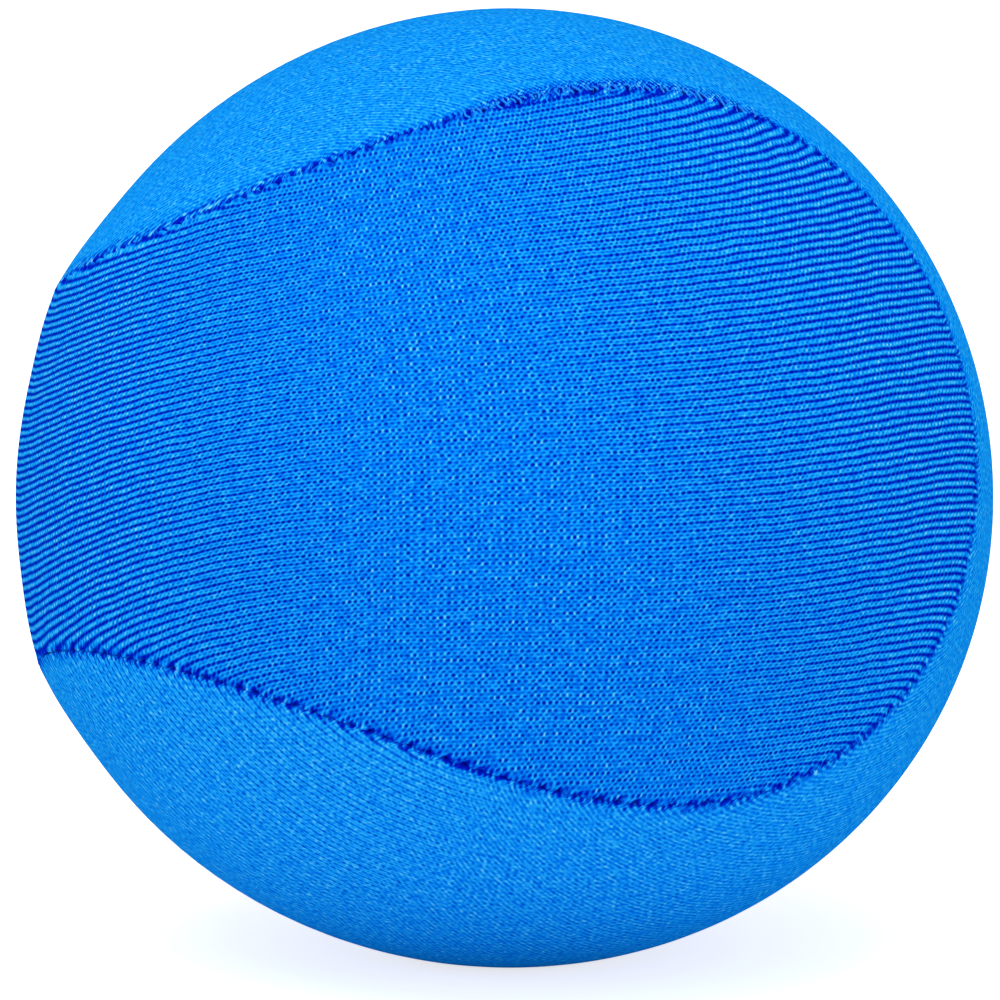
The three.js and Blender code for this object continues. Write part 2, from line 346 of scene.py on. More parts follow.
FRONT_GRAIN = KnitGrain(
    course_rate=68.5,
    middle=math.pi / 2,
    pace=1.0,
    turn=0.4,
    wales=((0, 1, 7.2), (0, 2, 6.4), (0, 3, 3.5), (0, 4, -3.4), (0, 5, -2.3), (1, 0, -64.4), (1, 1, 7.5),
           (1, 2, -2.6), (1, 3, -3.9), (2, 0, 4.7), (2, 1, -1.8), (2, 2, -4.1), (3, 0, -1.5), (3, 1, -2.6),
           (4, 0, 1.3)),
    courses=((0, 1, 4.2), (0, 2, -0.6), (0, 3, -0.9), (1, 0, 7.2), (1, 1, 5.8), (1, 3, -0.9), (2, 0, 11.1),
             (2, 1, -14.8), (3, 0, 4.4), (3, 1, 1.2), (4, 1, -1.1)),
    rib_ends=(RibEnd(-1, (1.12, -0.03, -0.36), 0.78), RibEnd(1, (1.25, -0.54, 0.22), 1.07)),
)
BACK_GRAIN = KnitGrain(
    course_rate=68.5,
    middle=0.0,
    pace=0.5,
    turn=math.tau,
    wales=((0, 1, -0.8), (0, 2, 3.2), (0, 3, -0.6), (1, 0, -62.0), (1, 1, -7.5), (1, 2, 0.3), (1, 3, 2.1),
           (3, 0, -16.0), (3, 1, 2.5), (5, 0, -2.0)),
    courses=((0, 1, -21.4), (0, 2, 2.6), (0, 3, 6.1), (1, 0, 7.6), (1, 1, 5.6), (1, 2, 0.4), (2, 0, 15.2),
             (2, 1, -2.2), (2, 2, -0.5), (4, 0, 2.5)),
    rib_ends=(RibEnd(-1, (-1.75,), 0.4),),
)


def mesh_piece(name: str, points: Array, faces: Array, maps: dict[str, Array] | None = None,
               state: Array | None = None) -> Piece:
    """Makes a smooth piece from points and four-cornered faces, its faces turned outwards.

    Args:
        name: The piece's name.
        points: Places in mm.
        faces: Corner numbers, four to a face.
        maps: Pairs of numbers of the points by name, kept as the piece's maps.
        state: Three numbers of the points, rib parting and two painted shades, kept as the colour attribute knit_state.

    Returns:
        The new object, at the origin.
    """
    first, second, third, fourth = (points[faces[:, corner]] for corner in range(4))
    volume = (first * (np.cross(second, third) + np.cross(third, fourth))).sum()
    if volume < 0:
        faces = faces[:, ::-1]
    mesh = bpy.data.meshes.new(name)
    mesh.vertices.add(len(points))
    mesh.vertices.foreach_set("co", (points * MM).astype(np.float32).ravel())
    mesh.loops.add(faces.size)
    mesh.loops.foreach_set("vertex_index", faces.astype(np.int32).ravel())
    mesh.polygons.add(len(faces))
    mesh.polygons.foreach_set("loop_start", np.arange(0, faces.size, 4, dtype=np.int32))
    mesh.update(calc_edges=True)
    mesh.validate()
    mesh.polygons.foreach_set("use_smooth", np.ones(len(mesh.polygons), bool))
    index = np.zeros(len(mesh.loops), np.int32)
    mesh.loops.foreach_get("vertex_index", index)
    for key, pairs in (maps or {}).items():
        layer = mesh.uv_layers.new(name=key)
        layer.data.foreach_set("uv", pairs[index].astype(np.float32).ravel())
    if state is not None:
        attribute = mesh.attributes.new("knit_state", "FLOAT_COLOR", "POINT")
        values = np.concatenate([state, np.ones((len(state), 1))], 1)
        attribute.data.foreach_set("color", values.astype(np.float32).ravel())
    piece = bpy.data.objects.new(name, mesh)
    bpy.context.scene.collection.objects.link(piece)
    return piece


def join_rows(points: Array, first: PanelSide, last: PanelSide) -> tuple[Array, Array]:
    """Joins rows of points round the seam into faces, and folds each end row shut along a panel's spine.

    Args:
        points: The rows of points, whose end rows are moved so that their halves meet.
        first: The panel whose spine the first row lies on.
        last: The panel whose spine the last row lies on.

    Returns:
        The numbers of the points that are used, and the faces as numbers among those.
    """
    rows, stations = points.shape[:2]
    number = np.arange(rows * stations).reshape(rows, stations)
    for row, side in ((0, first), (-1, last)):
        mirror = side.mirrored(stations)
        number[row] = np.minimum(number[row], number[row][mirror])
        points[row] = (points[row] + points[row][mirror]) / 2
    after = np.roll(number, -1, axis=1)
    used, faces = np.unique(np.stack([number[:-1], after[:-1], after[1:], number[1:]], -1), return_inverse=True)
    return used, faces.reshape(-1, 4)


class Stitching:
    """The even stitches round the seam, each with its own small differences."""

    def __init__(self, form: CoverForm) -> None:
        """Draws each stitch's differences from the form's seed."""
        chance = np.random.default_rng(form.seed)
        self.form = form
        self.strength = chance.uniform(0.45, 1.25, form.stitches)
        self.shift = chance.uniform(-0.17, 0.17, form.stitches)
        self.wander = chance.normal(0, 1, (2, 24))

    def blend(self, values: Array, share: Array) -> Array:
        """Values of the stitches at places between them."""
        place = np.mod(share, 1.0) * self.form.stitches
        first = np.floor(place).astype(int)
        part = smooth_step(0, 1, place - first)
        return values[first % len(values)] * (1 - part) + values[(first + 1) % len(values)] * part

    def gather(self, share: Array, lean: Array) -> Array:
        """How strongly the cloth is drawn in, 1 at a stitch and 0 between two.

        Args:
            share: Shares of the way round the seam.
            lean: How far each place is moved along the seam, in stitches.

        Returns:
            The gather, with each stitch's own strength.
        """
        place = share * self.form.stitches + lean
        place = place + self.blend(self.shift, share)
        wave = 0.5 + 0.5 * np.cos(math.tau * place)
        return wave**3 * self.blend(self.strength, share)

    def sway(self, share: Array) -> Array:
        """A slow wave round the seam of about unit size."""
        waves = np.arange(7, 19)
        values = self.wander[0].reshape(2, 12)
        angle = math.tau * waves * share[..., None]
        return (values[0] * np.cos(angle) + values[1] * np.sin(angle)).sum(-1) / math.sqrt(12)


@dataclass(frozen=True)
class SeamStretch:
    """A stretch of the seam: the shares of the way round between which it comes in, and goes out again."""

    start: tuple[float, float]
    end: tuple[float, float]

    def at(self, share: Array) -> Array:
        """1 along the stretch, 0 elsewhere."""
        return smooth_step(*self.start, share) * (1 - smooth_step(*self.end, share))


CLOSED_BY_HAND = SeamStretch(start=(0.222, 0.235), end=(0.275, 0.288))
SLANTED_ONLY = SeamStretch(start=(0.05, 0.08), end=(0.18, 0.22))
TIGHT = SeamStretch(start=(0.288, 0.31), end=(0.41, 0.44))


@dataclass(frozen=True)
class SeamValue:
    """A number of the seam's marks: its plain value, and what each kind of stretch adds to it."""

    plain: float
    closed: float = 0.0
    slanted: float = 0.0
    tight: float = 0.0

    def at(self, share: Array) -> Array:
        """The number round the seam."""
        value = self.plain + self.closed * CLOSED_BY_HAND.at(share) + self.slanted * SLANTED_ONLY.at(share)
        return value + self.tight * TIGHT.at(share)


GATHER_STRENGTH = SeamValue(1.0, closed=0.5)
# Painted shade in the stitches' holes: how strong it is and how far it reaches, round the seam.
HOLE_SHADE_STRENGTH = SeamValue(1.0, closed=-0.1, slanted=-0.95, tight=-0.45)
HOLE_SHADE_REACH = SeamValue(1.0, closed=0.6)
# Painted shade along the seam on each panel: how strong it is and how far it reaches from the seam.
EDGE_SHADE_STRENGTH = {PanelSide.FRONT: SeamValue(0.5, closed=0.5, slanted=-0.42, tight=-0.2),
                 PanelSide.BACK: SeamValue(0.5, closed=0.5, slanted=0.42, tight=-0.2)}
EDGE_SHADE_REACH = SeamValue(0.55, closed=0.3, slanted=0.1)


@dataclass
class Panel:
    """One dog-bone panel of the cover: its face, the rolled edge at the seam, its allowance and its lining."""

    side: PanelSide
    seam: SeamLine
    form: CoverForm
    stitching: Stitching
    pucker: PuckerForm
    grain: KnitGrain

    def __post_init__(self) -> None:
        """Lays the columns that leave the seam squarely and bend toward the spine."""
        self.stations = self.form.stitches * self.form.columns_per_stitch
        self.places = self.seam.at(np.arange(self.stations) / self.stations)
        self.radius = self.seam.form.radius
        way = self.side.round(self.places.ideal)
        tip = math.pi - math.atan2(1 - self.seam.triple, self.seam.rise)
        angle = self.form.lobe_middle * tip * np.sin(math.pi / 2 * way / tip)
        self.ends = self.side.spine(angle)
        cosine = np.clip((self.places.point * self.ends).sum(-1), -1, 1)
        length = np.arccos(cosine)
        self.controls = self.places.point + self.places.into_front * (self.side.value * length / 2)[:, None]
        self.lengths = length * self.radius

    def column(self, share: Array) -> Array:
        """Directions at shares of the way from the seam to the spine, one for each station."""
        share = share[:, None]
        return unit((1 - share)**2 * self.places.point + 2 * share * (1 - share) * self.controls
                    + share**2 * self.ends)

    def face_height(self, distance: Array, share_of_way: Array) -> Array:
        """The height of the cover's face, with the ridge, the roll at the seam and its puckers.

        Args:
            distance: Distances from the seam in mm, one for each station.
            share_of_way: The shares of the way from the near rows to the spine.

        Returns:
            Heights over the oval surface in mm.
        """
        form, pucker, share = self.form, self.pucker, self.places.share
        height = form.ridge(distance) * (1 - share_of_way**2)
        inside = np.clip((form.roll_radius - distance) / (form.roll_radius - form.gap), 0, 1)
        height -= form.roll_depth * (1 - np.sqrt(1 - inside**2 * 0.995))
        gather = self.stitching.gather(share, pucker.lean * distance)
        fade = np.exp(-np.maximum(distance - pucker.lip, 0) / pucker.reach)
        height -= pucker.depth * GATHER_STRENGTH.at(share) * (gather - pucker.mean) * fade
        return height + pucker.sway * self.stitching.sway(share) * np.exp(-distance / pucker.sway_reach)

    def rolled(self, distance: float) -> Array:
        """How far to the side the rolled edge lies at a distance, drawn back at each stitch."""
        gather = self.stitching.gather(self.places.share, self.pucker.lean * distance)
        fade = math.exp(-max(distance - self.pucker.lip, 0) / self.pucker.lip_reach)
        return distance + self.pucker.retreat * gather * fade

    def _rows(self) -> list[tuple[Array, Array, Array]]:
        """Directions, heights and distances from the seam, from the face's spine over the edge to the lining's."""
        form, zero = self.form, np.zeros(self.stations)
        near_end = form.near_rows[-1]
        face = []
        for distance in form.near_rows:
            height = self.face_height(zero + distance, zero)
            face.append((self.column(self.rolled(distance) / self.lengths), height, zero + distance))
        for step in range(1, form.field_rows + 1):
            part = step / form.field_rows
            distance = near_end + part * (self.lengths - near_end)
            face.append((self.column(distance / self.lengths), self.face_height(distance, zero + part), distance))
        allowance = []
        for side, depth in ((0.0, 0.35), (0.0, 1.0), (0.0, 2.1), (0.0, form.allowance),
                            (form.thickness, form.allowance), (form.thickness, 2.1), (form.thickness + 0.08, 1.35)):
            ease = self.pucker.retreat * 0.5 * self.stitching.gather(self.places.share, zero) if depth < 1.5 else 0
            offset = zero + form.gap + side + ease
            allowance.append((self.places.beside(self.side.value * offset, self.radius), zero - depth, zero))
        lining = []
        for distance, sunk in form.lining_near:
            height = form.ridge(distance) - form.thickness - sunk
            lining.append((self.column(distance / self.lengths), zero + height, zero + distance))
        start = form.lining_near[-1][0]
        for step in range(1, form.lining_rows + 1):
            part = step / form.lining_rows
            distance = start + part * (self.lengths - start)
            ridge = form.ridge(distance) * (1 - part**2)
            lining.append((self.column(distance / self.lengths), ridge - form.thickness, distance))
        return [*face[::-1], *allowance, *lining]

    def build(self, name: str) -> Piece:
        """Builds the panel as one closed piece.

        Args:
            name: The piece's name.

        Returns:
            The panel's object.
        """
        rows = self._rows()
        directions, heights, distances = (np.stack(part) for part in zip(*rows))
        floor = np.zeros(len(rows))
        floor[-(self.form.lining_rows + len(self.form.lining_near)):] = self.form.thickness
        points = self.seam.form.place(directions, heights, floor[:, None])
        used, faces = join_rows(points, self.side, self.side)
        cloth = np.stack([self.column(eased / self.lengths) for eased in np.hypot(distances, self.form.turn_in)])
        across, along = self.side.across(cloth), self.side.round(cloth)
        counts = np.stack(self.grain.counts(across, along), -1).reshape(-1, 2)
        seam_way = np.broadcast_to(self.places.share * self.seam.length, distances.shape)
        seam_map = np.stack([seam_way, distances], -1).reshape(-1, 2)
        state = self._state(across, along, distances).reshape(-1, 3)
        return mesh_piece(name, points.reshape(-1, 3)[used], faces, {"knit": counts[used], "seam": seam_map[used]},
                          state[used])

    def _state(self, across: Array, along: Array, distances: Array) -> Array:
        """How far the ribs stand apart, and the painted shade in the stitches' holes and along the seam, at places."""
        share = self.places.share
        hole_shade = self.stitching.gather(share, self.pucker.lean * distances) * HOLE_SHADE_STRENGTH.at(share)
        hole_shade *= np.exp(-((distances / (self.pucker.hole_shade * HOLE_SHADE_REACH.at(share))) ** 2))
        edge = EDGE_SHADE_STRENGTH[self.side].at(share) * np.exp(-((distances / EDGE_SHADE_REACH.at(share)) ** 2))
        rib = np.maximum.reduce([end.share(across, along) for end in self.grain.rib_ends])
        return np.stack([rib, np.clip(hole_shade, 0, 1), edge], -1)


@dataclass
class Shade:
    """One number, colour or vector of a finish's node tree, for writing shader maths as expressions."""

    tree: bpy.types.NodeTree
    socket: bpy.types.NodeSocket

    def _math(self, operation: str, *values: "Shade | float", clamp: bool = False) -> "Shade":
        """Adds one Math node."""
        node = self.tree.nodes.new("ShaderNodeMath")
        node.operation = operation
        node.use_clamp = clamp
        for place, value in enumerate(values):
            if isinstance(value, Shade):
                self.tree.links.new(value.socket, node.inputs[place])
            else:
                node.inputs[place].default_value = float(value)
        return Shade(self.tree, node.outputs[0])

    def __add__(self, other: "Shade | float") -> "Shade":
        """Sum."""
        return self._math("ADD", self, other)

    __radd__ = __add__

    def __sub__(self, other: "Shade | float") -> "Shade":
        """Difference."""
        return self._math("SUBTRACT", self, other)

    def __rsub__(self, other: float) -> "Shade":
        """Reflected difference."""
        return self._math("SUBTRACT", other, self)

    def __mul__(self, other: "Shade | float") -> "Shade":
        """Product."""
        return self._math("MULTIPLY", self, other)

    __rmul__ = __mul__

    def at_least(self, low: float) -> "Shade":
        """The value, or the low limit where it would be below it."""
        return self._math("MAXIMUM", self, low)

    def wave_cosine(self) -> "Shade":
        """The cosine of 2 pi times the value."""
        return self._math("COSINE", self * math.tau)

    def clipped(self) -> "Shade":
        """The value kept between 0 and 1."""
        return self._math("ADD", self, 0.0, clamp=True)


class Recipe:
    """The node tree of one material, with one method that adds any node."""

    def __init__(self, name: str) -> None:
        """Starts an empty material."""
        self.material = bpy.data.materials.new(name)
        self.material.use_nodes = True
        self.tree = self.material.node_tree
        self.tree.nodes.clear()

    def node(self, kind: str, settings: dict[str, object] | None = None, output: int | str = 0,
             **sockets: object) -> Shade:
        """Adds a node.

        Args:
            kind: The node's type.
            settings: What is set on the node before its sockets.
            output: The output that is wanted.
            **sockets: Values or links of its inputs, by name with _ for a space, or in0, in1 by place.

        Returns:
            The wrapped output.
        """
        node = self.tree.nodes.new(kind)
        for key, value in (settings or {}).items():
            setattr(node, key, value)
        for key, value in sockets.items():
            place = int(key[2:]) if key[:2] == "in" and key[2:].isdigit() else key.replace("_", " ")
            if isinstance(value, Shade):
                self.tree.links.new(value.socket, node.inputs[place])
            else:
                node.inputs[place].default_value = value
        return Shade(self.tree, node.outputs[output])

    def parts(self, kind: str, whole: Shade) -> tuple[Shade, ...]:
        """Splits a vector or a colour into its numbers.

        Args:
            kind: The type of the node that splits it.
            whole: What is split.

        Returns:
            Its three numbers.
        """
        node = self.tree.nodes.new(kind)
        self.tree.links.new(whole.socket, node.inputs[0])
        return tuple(Shade(self.tree, output) for output in node.outputs)

    def mix(self, first: object, second: object, share: object) -> Shade:
        """Mixes two colours."""
        node = self.tree.nodes.new("ShaderNodeMix")
        node.data_type = "RGBA"
        for place, value in ((0, share), (6, first), (7, second)):
            if isinstance(value, Shade):
                self.tree.links.new(value.socket, node.inputs[place])
            else:
                node.inputs[place].default_value = (*value, 1.0) if isinstance(value, tuple) else value
        return Shade(self.tree, node.outputs[2])

    def ramp(self, value: Shade, stops: Stops) -> Shade:
        """A colour that changes with a value.

        Args:
            value: The value.
            stops: Values and their colours, in rising order.

        Returns:
            The colour.
        """
        low, high = stops[0][0], stops[-1][0]
        node = self.tree.nodes.new("ShaderNodeValToRGB")
        elements = node.color_ramp.elements
        while len(elements) < len(stops):
            elements.new(0.5)
        for element, (place, colour) in zip(elements, stops):
            element.position = (place - low) / (high - low)
            element.color = (*colour, 1.0)
        self.tree.links.new(((value - low) * (1 / (high - low))).socket, node.inputs[0])
        return Shade(self.tree, node.outputs[0])

    def noise(self, scale: float, detail: float, vector: Shade | None = None, output: int | str = 0) -> Shade:
        """A noise between 0 and 1 on Object coordinates, or on another vector."""
        if vector is None:
            vector = self.node("ShaderNodeTexCoord", output="Object")
        return self.node("ShaderNodeTexNoise", output=output, Vector=vector, Scale=scale, Detail=detail)

    def finish(self, **sockets: object) -> bpy.types.Material:
        """Adds the surface shader and the output.

        Args:
            **sockets: The shader's inputs, by name with _ for a space.

        Returns:
            The finished material.
        """
        self.node_output(self.node("ShaderNodeBsdfPrincipled", **sockets))
        return self.material

    def node_output(self, shader: Shade) -> None:
        """Links a shader to the material's output."""
        output = self.tree.nodes.new("ShaderNodeOutputMaterial")
        self.tree.links.new(shader.socket, output.inputs["Surface"])


# Colours of the knit's tone: the low navy stops are painted shade, the middle stop is the yarn's own blue and the pale
# high stops are painted highlights.
YARN_AND_PAINTED_LIGHT: Stops = (
    (-2.4, (0.0, 0.006, 0.5)),
    (-1.5, (0.0, 0.014, 0.55)),
    (-0.9, (0.0, 0.062, 0.64)),
    (0.0, (0.0, 0.212, 0.88)),
    (0.8, (0.016, 0.43, 0.97)),
    (1.5, (0.18, 0.66, 0.98)),
    (2.4, (0.42, 0.84, 0.98)),
)


@dataclass(frozen=True)
class KnitFinish:
    """The stretch knit, with painted shade in the gaps between its loops and painted highlights on the tops of its
    yarn.

    Each pair holds a wave's strength where the loops close up and where the cloth is drawn out into ribs. Edge,
    slant, snarl, ticks and shade set the painted shade near the seam, with a little painted highlight: how far the
    weave deepens there and how the stitches mark it.
    """

    name: str
    lean: tuple[float, float]
    counter: tuple[float, float]
    courses: tuple[float, float]
    rows: tuple[float, float]
    between: float
    ribs: tuple[float, float]
    lift: tuple[float, float]
    speck: float
    blotch: float
    edge: float
    slant: float
    snarl: float
    ticks: float
    shade: float
    sheen: float
    # How much the painted shade in the stitches' holes darkens the tone.
    hole_shade_darkness: float = 2.6
    depth: float = 0.00004

    def material(self) -> bpy.types.Material:
        """Builds the knit's material."""
        recipe = Recipe(self.name)
        place = recipe.node("ShaderNodeUVMap", {"uv_map": "knit"})
        course, wale, _ = recipe.parts("ShaderNodeSeparateXYZ", place)
        state = recipe.node("ShaderNodeVertexColor", {"layer_name": "knit_state"})
        rib, hole_shade, edge = recipe.parts("ShaderNodeSeparateColor", state)
        wander = recipe.noise(0.12, 1.0, place, "Color")
        sway, slide, _ = recipe.parts("ShaderNodeSeparateColor", wander)
        loop = recipe.noise(0.7, 1.0, place, "Color")
        first, second, third = (part - 0.5 for part in recipe.parts("ShaderNodeSeparateColor", loop))
        course = course + 1.2 * slide + 0.35 * first
        wale = wale + 0.5 * sway + 0.16 * second

        def strength(pair: tuple[float, float]) -> Shade:
            """A wave's strength between closed loops and parted ribs."""
            return rib * (pair[1] - pair[0]) + pair[0]

        loops = (course + wale).wave_cosine() * strength(self.lean)
        loops += (course - wale).wave_cosine() * strength(self.counter)
        loops += course.wave_cosine() * strength(self.courses)
        loops *= (1 + 3.0 * third)
        rows = strength(self.rows) + 4 * self.between * (rib * (1 - rib))
        weave = loops + (wale * 2).wave_cosine() * rows + wale.wave_cosine() * strength(self.ribs)
        speck = recipe.noise(1.7, 0.5, place) - 0.5
        medium = recipe.noise(0.75, 1.0, place) - 0.5
        large = recipe.noise(0.4, 1.0, place) - 0.5
        # The loops' relief with random specks and blotches: the bump's height, and also painted into the colour as
        # shade in the gaps and highlights on the yarn's tops.
        relief_and_painted_shade = weave + self.speck * speck + 0.5 * self.speck * medium + self.blotch * large
        # Painted shade along the seam: snarled dark marks, slanted pucker lines and a deeper weave; it may lighten only
        # a little.
        way, distance, _ = recipe.parts("ShaderNodeSeparateXYZ", recipe.node("ShaderNodeUVMap", {"uv_map": "seam"}))
        slanted = recipe.node("ShaderNodeCombineXYZ", X=way + self.slant * distance, Y=distance * 0.45)
        snarl = recipe.noise(2.8, 1.0, slanted) - 0.5
        tick = (2.4 * (way + 2.0 * self.slant * distance) + 3.0 * snarl).wave_cosine()
        painted_seam_shade = (self.snarl * snarl + self.ticks * tick + self.shade + self.edge * weave).at_least(-0.8) * edge
        # Painted light in the tone: the relief as shade and highlight, and shade in the stitches' holes and along the
        # seam.
        tone = strength(self.lift) - relief_and_painted_shade - self.hole_shade_darkness * hole_shade - painted_seam_shade
        paint = recipe.ramp(tone, YARN_AND_PAINTED_LIGHT)
        bump = recipe.node("ShaderNodeBump", Height=relief_and_painted_shade * -1, Distance=self.depth, Strength=1.0)
        return recipe.finish(Base_Color=paint, Roughness=0.8, Specular_IOR_Level=0.0, Normal=bump,
                             Sheen_Weight=self.sheen, Sheen_Roughness=0.4, Sheen_Tint=(0.0, 0.4, 1.0, 1.0))


FRONT_KNIT = KnitFinish(
    "front_knit_blue", lean=(0.48, 0.36), counter=(0.33, 0.20), courses=(0.26, 0.05), rows=(0.30, 0.30), between=0.34,
    ribs=(0.06, 1.25), lift=(-0.15, -0.35), speck=1.7, blotch=0.6, edge=0.0, slant=0.6, snarl=9.0, ticks=0.7, shade=0.8,
    sheen=0.05)
BACK_KNIT = KnitFinish(
    "back_knit_blue", lean=(0.32, 0.08), counter=(0.05, 0.16), courses=(0.09, 0.06), rows=(0.04, 0.28), between=0.12,
    ribs=(0.09, 0.36), lift=(0.3, 0.3), speck=2.0, blotch=0.5, edge=2.2, slant=-0.5, snarl=7.5, ticks=1.3, shade=1.3,
    sheen=0.35)


@dataclass(frozen=True)
class ThreadFinish:
    """Twisted polyester thread."""

    name: str
    base: tuple[float, float, float]
    dark: tuple[float, float, float]

    def material(self) -> bpy.types.Material:
        """Builds the thread's material."""
        recipe = Recipe(self.name)
        fleck = recipe.noise(9000.0, 2.0)
        twist = recipe.noise(3500.0, 1.0)
        paint = recipe.mix(self.base, self.dark, (fleck * 1.4 - 0.3).clipped())
        bump = recipe.node("ShaderNodeBump", Height=twist, Distance=0.00005, Strength=1.0)
        return recipe.finish(Base_Color=paint, Roughness=0.8, Specular_IOR_Level=0.05, Normal=bump)


@dataclass(frozen=True)
class GelFinish:
    """Clear elastic gel with a slightly tacky skin."""

    base: tuple[float, float, float] = (0.80, 0.87, 0.90)
    deep: tuple[float, float, float] = (0.70, 0.80, 0.86)

    def material(self) -> bpy.types.Material:
        """Builds the gel's material."""
        recipe = Recipe("gel_clear")
        cloud = recipe.noise(60.0, 3.0)
        skin = recipe.noise(900.0, 2.0)
        paint = recipe.mix(self.base, self.deep, cloud)
        bump = recipe.node("ShaderNodeBump", Height=skin, Distance=0.00008, Strength=0.6)
        return recipe.finish(Base_Color=paint, Roughness=0.28 + 0.15 * cloud, Normal=bump, Transmission_Weight=0.55,
                             IOR=1.45)


@dataclass
class GelCore:
    """The moulded gel ball inside, with the furrow that the seam's allowances press into it."""

    seam: SeamLine
    cover: CoverForm
    stations: int = 544
    rows: int = 15
    clearance: float = 0.15
    furrow_edge: float = 2.6
    furrow: tuple[tuple[float, float], ...] = (
        (2.25, 0.95), (1.95, 1.5), (1.87, 2.4), (1.85, 3.3), (1.6, 3.85), (1.1, 4.1))

    def build(self, panels: list[Panel], name: str = "gel_core_body") -> Piece:
        """Builds the core from the two panels' columns.

        Args:
            panels: The front and the back panel.
            name: The piece's name.

        Returns:
            The core's object.
        """
        depth = self.cover.thickness + self.clearance + 0.2
        step = panels[0].stations // self.stations
        halves = []
        for panel in panels:
            rows = []
            for part in np.linspace(1, 0, self.rows):
                distance = self.furrow_edge + part * (panel.lengths - self.furrow_edge)
                height = self.cover.ridge(distance) * (1 - part**2) - depth
                rows.append((panel.column(distance / panel.lengths), height))
            for side, low in self.furrow:
                offset = np.full(panel.stations, side * panel.side.value)
                rows.append((panel.places.beside(offset, panel.radius), np.full(panel.stations, -low)))
            halves.append(rows)
        rows = [*halves[0], *halves[1][::-1]]
        directions = np.stack([direction[::step] for direction, _ in rows])
        heights = np.stack([height[::step] for _, height in rows])
        points = self.seam.form.place(directions, heights, self.cover.thickness + self.clearance)
        used, faces = join_rows(points, panels[0].side, panels[1].side)
        return mesh_piece(name, points.reshape(-1, 3)[used], faces)


def swept_thread(name: str, centres: Array, radius: float, closed: bool, sides: int = 8) -> Piece:
    """Sweeps a thread along a route.

    Args:
        name: The piece's name.
        centres: The route's points in mm.
        radius: The thread's radius in mm.
        closed: Whether its ends meet.
        sides: How many sides it has.

    Returns:
        The thread's object.
    """
    ahead, behind = np.roll(centres, -1, axis=0), np.roll(centres, 1, axis=0)
    taper = np.ones(len(centres))
    if not closed:
        ahead[-1], behind[0] = centres[-1], centres[0]
        taper[0] = taper[-1] = THREAD_TIP
    tangent = unit(ahead - behind)
    outward = unit(centres - np.array(THREAD_CENTRE_MM))
    across = unit(np.cross(tangent, outward))
    upright = np.cross(across, tangent)
    angle = math.tau * np.arange(sides) / sides
    ring = (upright[:, None] * np.cos(angle)[None, :, None] + across[:, None] * np.sin(angle)[None, :, None])
    points = centres[:, None] + ring * (radius * taper)[:, None, None]
    number = np.arange(len(centres) * sides).reshape(-1, sides)
    after = np.roll(number, -1, axis=1)
    faces = np.stack([number, after, np.roll(after, -1, axis=0), np.roll(number, -1, axis=0)], -1)
    if not closed:
        caps = [[end[side], end[sides - 1 - side], end[sides - 2 - side], end[side + 1]]
                for end in (number[0], number[-1][::-1]) for side in range(sides // 2 - 1)]
        faces = np.concatenate([faces[:-1].reshape(-1, 4), np.array(caps)])
    return mesh_piece(name, points.reshape(-1, 3), faces.reshape(-1, 4))


@dataclass
class SeamThreads:
    """The overlock's needle and two looper threads inside the seam, and the thread that closed it by hand."""

    seam: SeamLine
    cover: CoverForm
    radius: float = 0.13
    needle_depth: float = 1.5
    looper_top: float = 2.0
    edge_depth: float = 3.35
    closing_ends: tuple[float, float] = (0.224, 0.2835)
    closing_count: int = 46
    closing_radius: float = 0.08
    closing_seed: int = 5

    def _lay(self, share: Array, side: Array, depth: Array) -> Array:
        """A route through shares of the way round the seam, distances to its side and depths under it in mm."""
        return self.seam.form.place(self.seam.at(share).beside(side, self.seam.form.radius), -depth)

    def _route(self, steps: list[tuple[float, float, float]]) -> Array:
        """A route of steps repeated at each stitch: a share of the stitch, a side in mm and a depth in mm."""
        stitches = self.cover.stitches
        part, side, depth = np.tile(np.array(steps), (stitches, 1)).T
        return self._lay((np.repeat(np.arange(stitches), len(steps)) + part) / stitches, side, depth)

    def needle(self) -> Piece:
        """The needle thread: a running line beside the front allowance."""
        out = self.cover.gap + self.cover.thickness + self.radius + 0.12
        steps = [(0.0, out, self.needle_depth), (0.25, out + 0.02, self.needle_depth - 0.03),
                 (0.5, out, self.needle_depth), (0.75, out - 0.02, self.needle_depth + 0.03)]
        return swept_thread("needle_line", self._route(steps), self.radius, True)

    def looper(self, side: int, name: str) -> Piece:
        """A looper thread: loops from the needle line to the raw edges and back."""
        out = side * (self.cover.gap + self.cover.thickness + self.radius + 0.05)
        start = 0.3 if side < 0 else 0.0
        steps = [(start, out, self.looper_top), (0.17 + start, out, 2.5),
                 (0.34 + start, out, 3.0), (0.5 + start, side * 0.25, self.edge_depth),
                 (0.66 + start, out, 3.0), (0.83 + start, out, 2.5)]
        return swept_thread(name, self._route(steps), self.radius * 0.85, True, 6)

    def closing(self) -> Piece:
        """The closing thread: slanted stitches over the valley along the hand-closed stretch."""
        chance = np.random.default_rng(self.closing_seed)
        (first, last), count = self.closing_ends, self.closing_count
        steps = []
        for stitch in range(count):
            base = first + (last - first) * stitch / count
            pace = (last - first) / count
            reach = 0.42 + chance.uniform(-0.18, 0.2)
            low, high = -0.2, -0.52 + chance.uniform(-0.05, 0.1)
            for part, side, depth in ((0.0, -reach, low), (0.12, -reach * 0.8, high + 0.1), (0.3, -0.15, high),
                                      (0.45, 0.15, high), (0.62, reach * 0.8, high + 0.1), (0.74, reach, low),
                                      (0.86, 0.1, low + 0.25)):
                steps.append((base + part * pace + chance.uniform(-0.3, 0.3) * pace,
                              side + chance.uniform(-0.08, 0.08), depth))
        return swept_thread("closing_stitches", self._lay(*np.array(steps).T), self.closing_radius, False)


